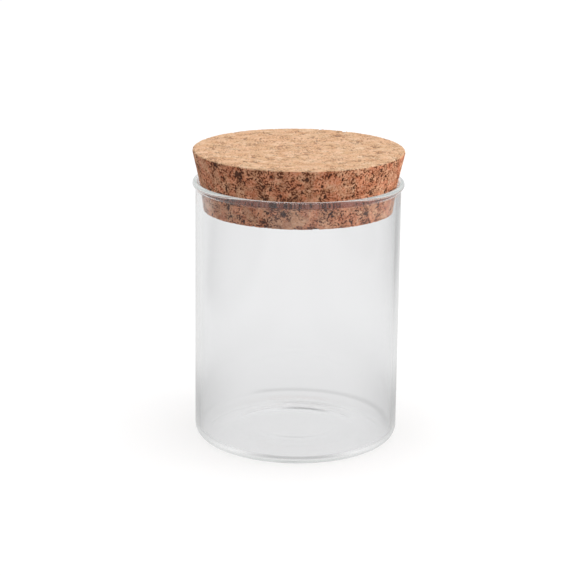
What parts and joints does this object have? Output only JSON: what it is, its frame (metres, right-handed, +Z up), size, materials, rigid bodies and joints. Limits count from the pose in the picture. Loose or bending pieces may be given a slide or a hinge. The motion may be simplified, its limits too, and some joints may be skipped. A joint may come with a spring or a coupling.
{
  "type": "glass jar with cork lid",
  "caption": "Round clear glass storage jar with a straight wall and a short flared lip, closed by a tapered cork lid that lifts out.",
  "frame": {"origin": "centre of the foot ring, on the plane that the jar stands on", "axes": "+Z up along the axis of the jar and of the lid; both are round, so X and Y are free"},
  "size_m": [0.0824, 0.0824, 0.1162],
  "materials": {
    "clear_glass": "polished",
    "cork": "matte"
  },
  "bodies": {
    "jar": {"glass_jar": "clear_glass"},
    "lid": {"cork_lid": "cork"}
  },
  "joints": [
    {"name": "lid_lift", "type": "slide", "parent": "jar", "child": "lid", "axis": [0, 0, 1], "range_m": [0, 0.1]}
  ]
}
